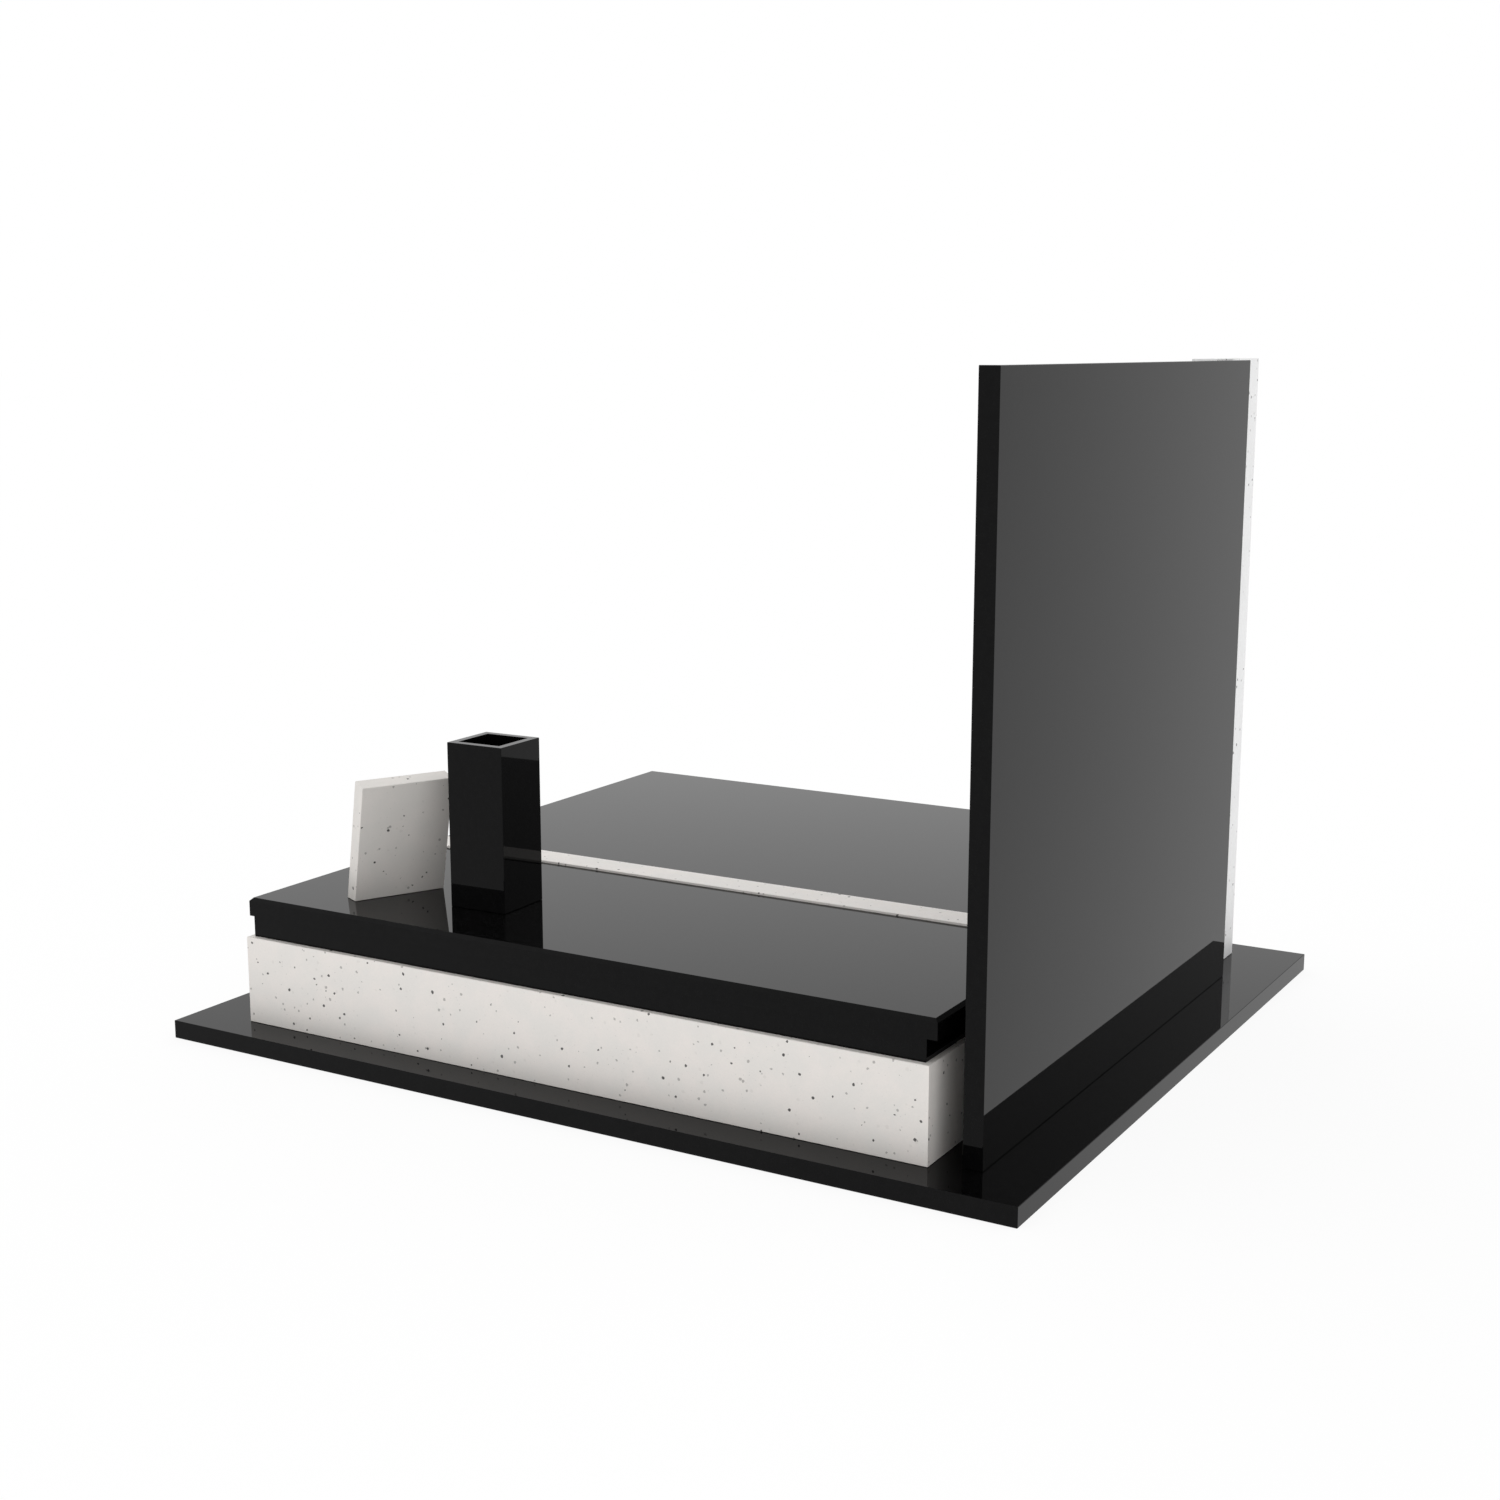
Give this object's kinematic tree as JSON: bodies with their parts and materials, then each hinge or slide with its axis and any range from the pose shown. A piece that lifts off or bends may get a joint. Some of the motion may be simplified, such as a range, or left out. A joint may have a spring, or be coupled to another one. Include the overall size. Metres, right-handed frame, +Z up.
{
  "type": "double grave monument",
  "caption": "Double grave monument: stone surround with two covers and a strip between them, a tall headstone with a side pillar, a square vase and a leaning tablet.",
  "frame": {"origin": "middle of the base slab's underside", "axes": "+Z up, +Y from the foot end to the headstone, +X to the right as seen from the foot end"},
  "size_m": [1.76, 2, 1.4663],
  "materials": {
    "black_granite": "black granite, polished to a mirror",
    "white_granite": "off-white granite with small dark specks, honed"
  },
  "bodies": {
    "root": {"base_slab": "black_granite", "kerb_foot": "white_granite", "kerb_right": "white_granite", "kerb_head": "white_granite", "kerb_left": "white_granite", "under_slab": "black_granite", "cover_right": "black_granite", "cover_left": "black_granite", "centre_strip": "white_granite", "headstone_slab": "black_granite", "headstone_pillar": "white_granite", "vase": "black_granite", "tablet": "white_granite"}
  },
  "joints": []
}
